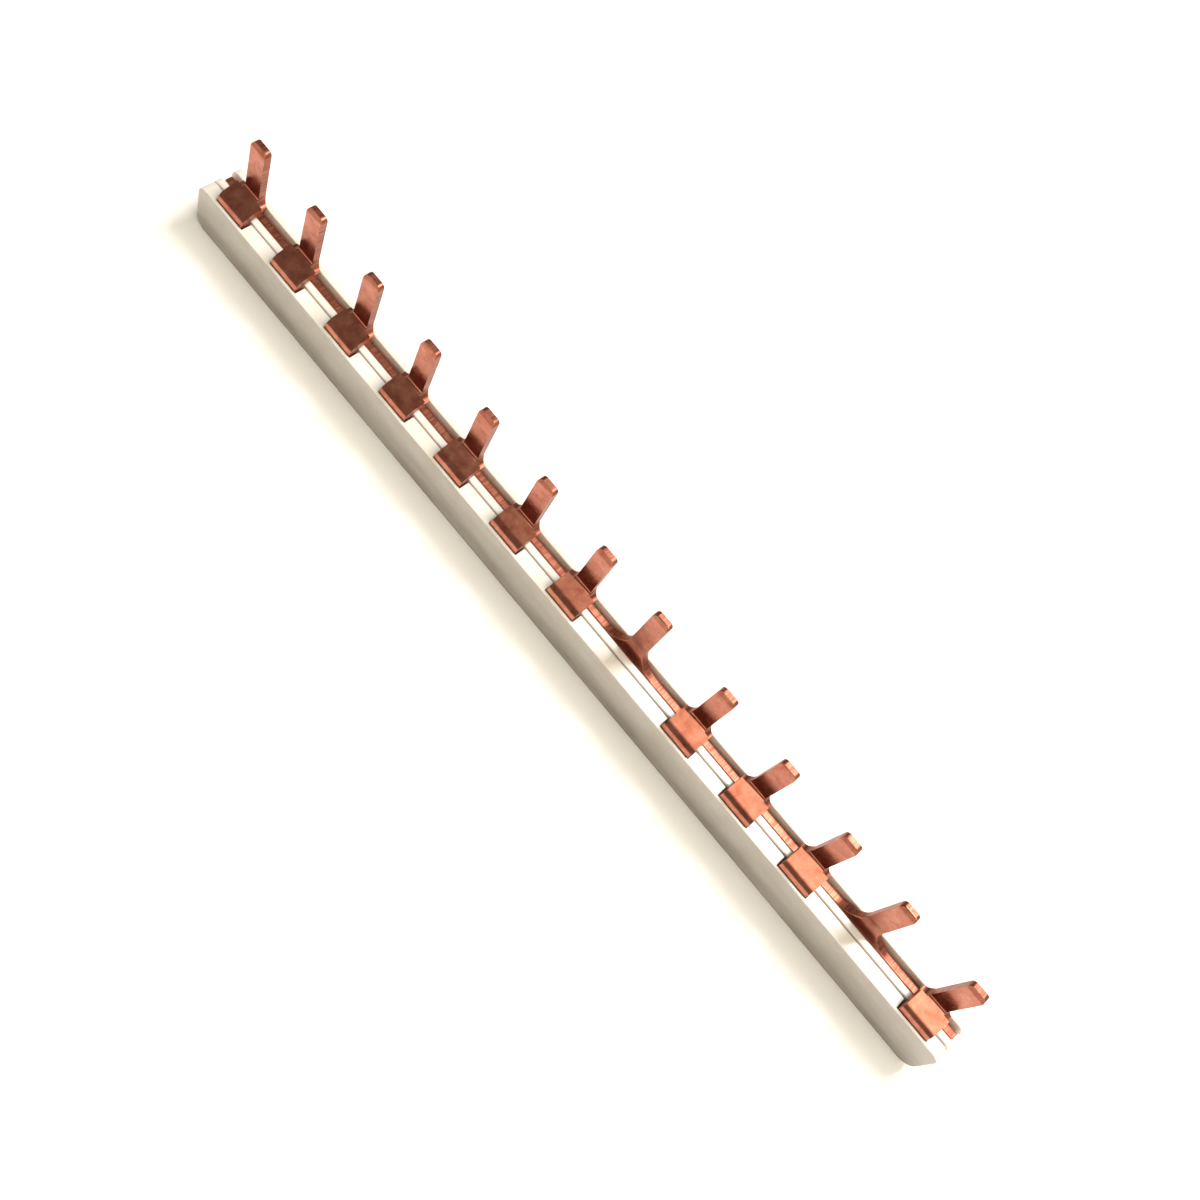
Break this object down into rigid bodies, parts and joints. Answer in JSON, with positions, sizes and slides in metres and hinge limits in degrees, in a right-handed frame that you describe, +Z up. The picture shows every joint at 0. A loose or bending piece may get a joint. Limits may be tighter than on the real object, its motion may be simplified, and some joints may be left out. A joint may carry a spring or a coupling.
{
  "type": "comb busbar",
  "caption": "Two-pole comb busbar: white plastic rail with two copper combs whose flat teeth stand in one row at device pitch.",
  "frame": {"origin": "centre of the rail's underside", "axes": "+X along the rail, +Y from the front cover to the rear wall, +Z up along the teeth"},
  "size_m": [0.2314, 0.0102, 0.0306],
  "materials": {
    "pvc": "glossy white PVC",
    "copper": null
  },
  "bodies": {
    "root": {"rail": "pvc", "front_cover": "pvc", "front_comb": "copper", "rear_comb": "copper"}
  },
  "joints": []
}
